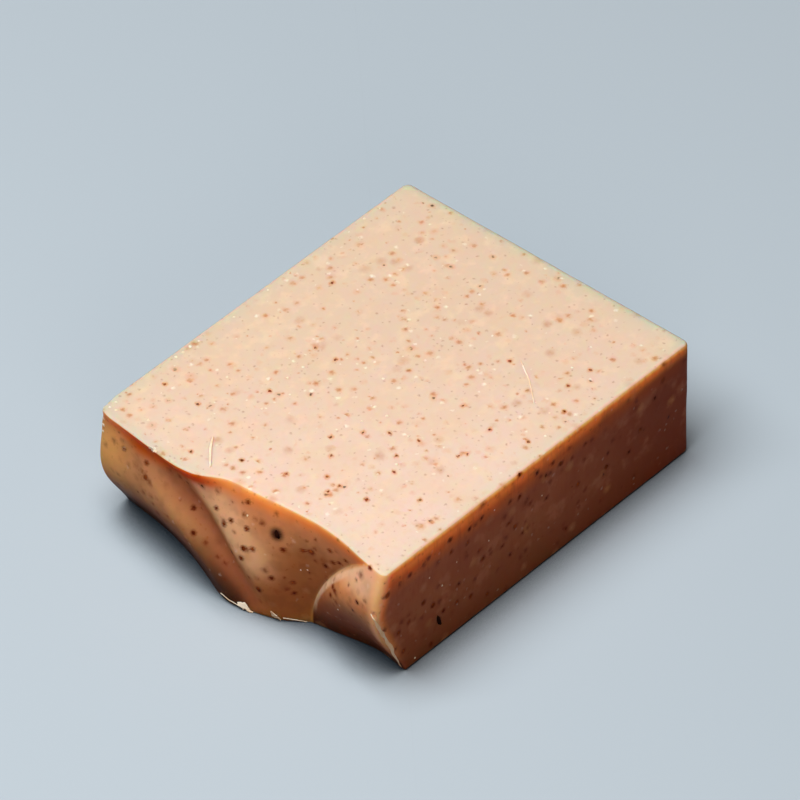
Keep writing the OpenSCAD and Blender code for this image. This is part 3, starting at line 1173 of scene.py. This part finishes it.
def make_small_pieces(bar):
    random.seed(PIECES_SEED)
    find = surface_finder(bar)
    pattern = make_grain_pattern()
    finishes = {name: plain_finish(name, *tones) for name, tones in PIECE_FINISHES.items()}
    dark = finishes["stirred_in_grains"]
    on_cut_face = round_places(find, GRAINS_ON_CUT_FACE)
    on_swirl = round_places(find, GRAINS_ON_SWIRL)
    on_side = round_places(find, GRAINS_ON_SIDE, SIDE_STRETCH)
    long_ones = long_places(find, LONG_GRAINS)
    stain(bar, GRAIN_HALO, on_cut_face + on_swirl + on_side + long_ones, HALO_REACH)
    stain(bar, BLACK_STAIN, long_ones[:1], BLACK_REACH)
    stain(bar, SMUDGE_STAIN, round_places(find, SMUDGES), HALO_REACH)
    carry(set_grains("grains_in_cut_face", pattern, on_cut_face, dark))
    carry(set_grains("grains_in_swirl", pattern, on_swirl, dark))
    carry(set_grains("grains_in_side", pattern, on_side, dark))
    carry(set_grains("long_grains", pattern, long_ones, finishes["black_grains"]))
    carry(set_grains("pale_crumbs", pattern, round_places(find, PALE_CRUMBS),
                     finishes["pale_crumbs"]))
    bpy.data.objects.remove(pattern)
    for seed, (name, sliver) in enumerate(SLIVERS.items()):
        piece = make_sliver(name, find, *sliver, seed)
        piece.data.materials.append(finishes["dried_skin"])
        carry(piece)


# The stage, with its lengths in metres

FLOOR_SIZE = 12
FLOOR_CONSTANTS = {"Roughness": 0.9, "Specular IOR Level": 0.1}
# The floor as it is seen, close to the bar, and as it throws light back
FLOOR_SEEN = (0.505, 0.595, 0.67)
CONTACT_SHADE = (0.012, 0.026, 0.045)
FLOOR_BOUNCE = (0.10, 0.05, 0.03)
# The shade close to the bar: how far it is looked for, in how many directions, and where in
# the open sky that is left it is full and ends
SHADE_REACH = 0.011
SHADE_SAMPLES = 6
SHADE_RANGE = (0.25, 0.8)
WORLD_LIGHT = (1.0, 0.72, 0.58)
WORLD_STRENGTH = 0.04
# Lamps, each as place, size, power and colour, turned towards a point low in the bar
LAMP_TARGET = (0, 0, 0.01)
LAMPS = {
    "window": ((-0.27, 0.11, 0.88), (0.7, 0.7), 10.0, (1.0, 0.98, 0.96)),
    "room": ((-0.6, -0.74, 0.36), (0.5, 0.5), 2.0, (1.0, 0.88, 0.78))}


def seen_directly(tree):
    """1 for rays from the camera, also by way of a mirror or glass, and 0 for others."""
    path = node(tree, "ShaderNodeLightPath", {}, {})
    return (path.out("Is Camera Ray") + path.out("Is Glossy Ray")
            + path.out("Is Transmission Ray")).at_most(1)


def make_floor():
    start_fresh()
    bpy.ops.mesh.primitive_plane_add(size=FLOOR_SIZE, location=(0, 0, 0))
    floor = bpy.context.object
    floor.name = "floor"
    material, tree, shader = new_finish("pale_floor", FLOOR_CONSTANTS)
    open_sky = node(tree, "ShaderNodeAmbientOcclusion", {"samples": SHADE_SAMPLES},
                    {"Distance": SHADE_REACH}, "AO")
    grounded = blend(smooth_step(open_sky, *SHADE_RANGE), CONTACT_SHADE, FLOOR_SEEN)
    colour = blend(seen_directly(tree), FLOOR_BOUNCE, grounded)
    colour.into(shader, "Base Color")
    floor.data.materials.append(material)


def make_light(name, place, size, power, colour):
    lamp = bpy.data.lights.new(name, "AREA")
    lamp.shape = "RECTANGLE"
    lamp.size, lamp.size_y = size
    lamp.energy = power
    lamp.color = colour
    light = bpy.data.objects.new(name, lamp)
    bpy.context.scene.collection.objects.link(light)
    light.location = place
    aim = Vector(LAMP_TARGET) - Vector(place)
    light.rotation_euler = aim.to_track_quat("-Z", "Y").to_euler()


def make_world():
    """A weak light all round, in the floor's colour where it is seen."""
    world = bpy.data.worlds.new("studio")
    world.use_nodes = True
    background = world.node_tree.nodes["Background"]
    seen = seen_directly(world.node_tree)
    blend(seen, WORLD_LIGHT, FLOOR_SEEN).into(background, "Color")
    (seen * (1 - WORLD_STRENGTH) + WORLD_STRENGTH).into(background, "Strength")
    bpy.context.scene.world = world


make_camera()
bar = make_bar()
bar.data.materials.append(soap_finish("soap"))
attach(bar, BODY)
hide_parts(NODE)
make_small_pieces(bar)

make_floor()
make_world()
for lamp_name, lamp_numbers in LAMPS.items():
    make_light(lamp_name, *lamp_numbers)

bpy.context.scene.view_settings.view_transform = "Standard"
